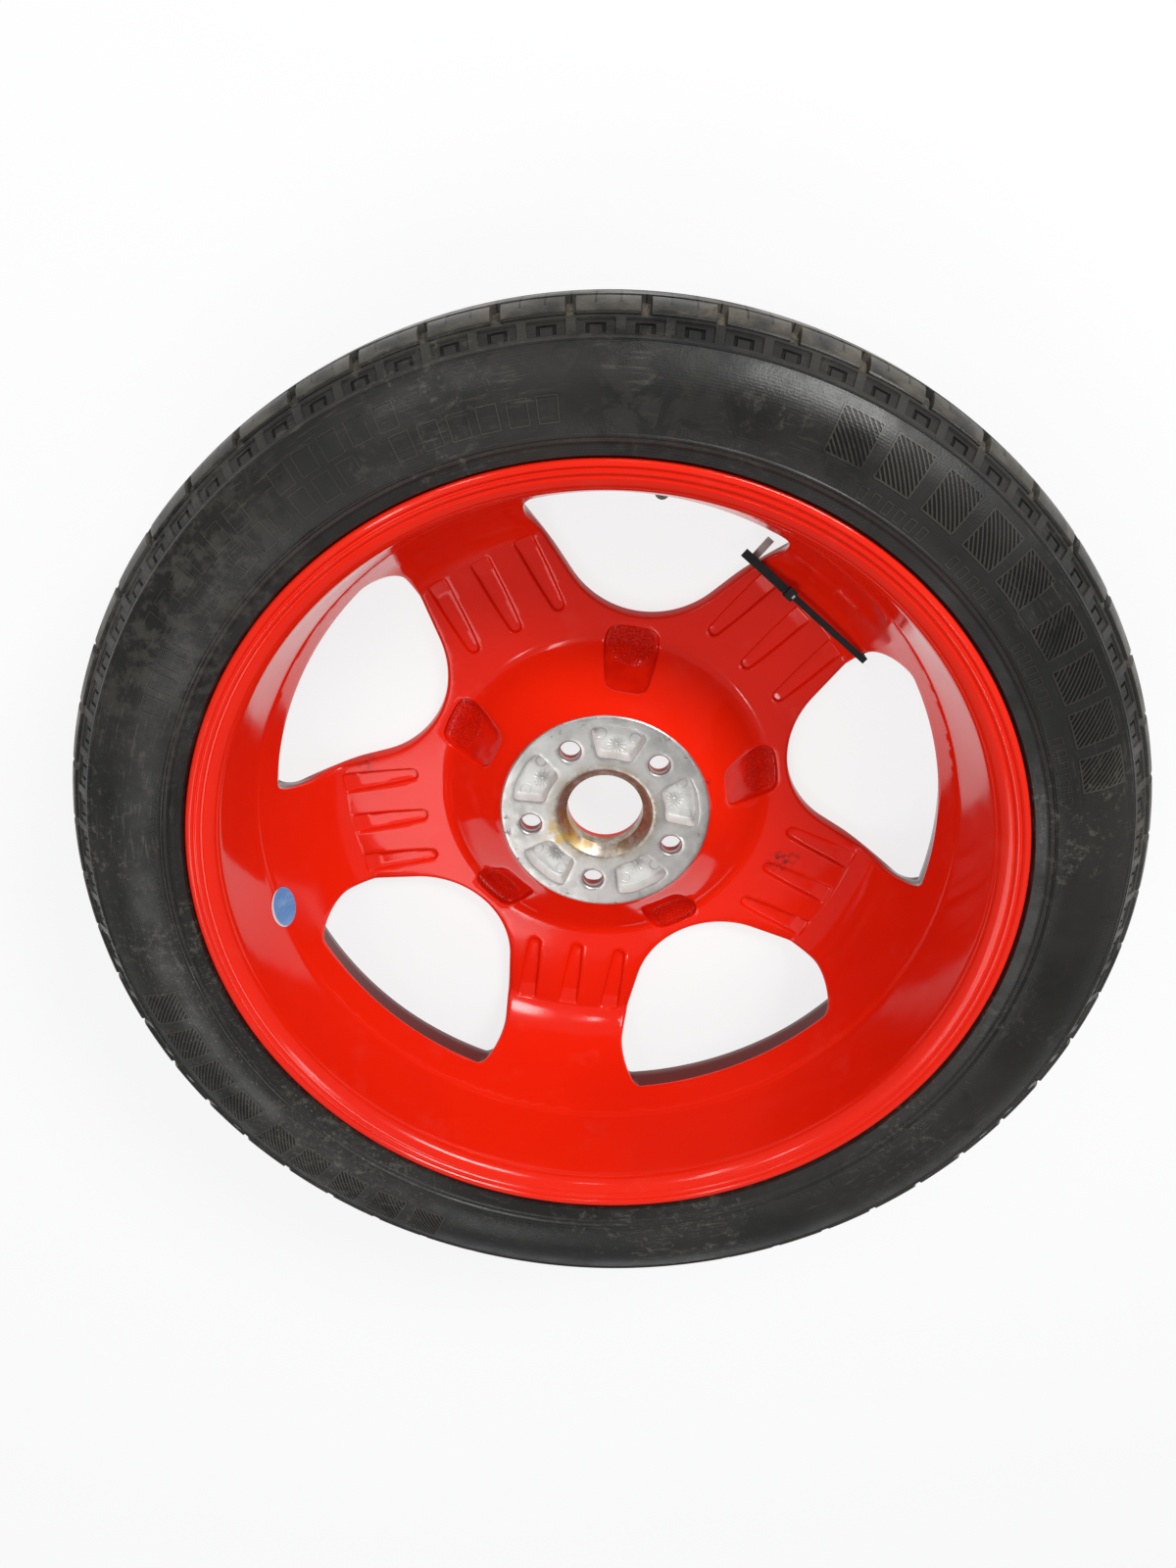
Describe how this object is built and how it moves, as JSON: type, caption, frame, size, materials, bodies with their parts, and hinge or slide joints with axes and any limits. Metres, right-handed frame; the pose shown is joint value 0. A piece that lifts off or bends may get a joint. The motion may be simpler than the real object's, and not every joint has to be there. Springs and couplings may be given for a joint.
{
  "type": "spare wheel",
  "caption": "Narrow temporary spare wheel: red five-spoke cast rim, machined hub face, black tyre and snap-in valve.",
  "frame": {"origin": "centre of the hub's mounting face, on the wheel's axis", "axes": "+Z along the wheel's axis towards the inboard side, which faces up as it lies; the first spoke is 45.3 degrees from +X towards +Y"},
  "size_m": [0.7096, 0.7096, 0.1803],
  "materials": {
    "red_paint": "gloss",
    "tyre_rubber": "matte",
    "valve_rubber": "matte",
    "brass": "satin",
    "steel": "satin",
    "red_seal": "matte",
    "black_plastic": "satin",
    "grey_film": "matte",
    "blue_label": "satin"
  },
  "bodies": {
    "wheel": {"wheel": "red_paint", "tyre": "tyre_rubber", "valve_rubber": "valve_rubber", "valve_stem": "brass", "core_plug": "brass", "core_seal": "red_seal", "core_tube": "brass", "core_spring": "steel", "tie_strap": "black_plastic", "tie_pawl": "steel", "tie_tag": "grey_film", "sticker": "blue_label"},
    "pin": {"core_pin": "steel", "core_cup": "brass", "core_cup_seal": "red_seal"},
    "cap": {"valve_cap": "black_plastic", "cap_seal": "valve_rubber"}
  },
  "joints": [
    {"name": "cap_off", "type": "slide", "parent": "wheel", "child": "cap", "axis": [-0.0756, -0.4942, -0.866], "range_m": [0, 0.014]},
    {"name": "pin_press", "type": "slide", "parent": "wheel", "child": "pin", "axis": [0.0756, 0.4942, 0.866], "range_m": [0, 0.0012], "stiffness_N_per_m": 300, "springref_m": -0.002, "deforming": ["core_spring"]}
  ]
}
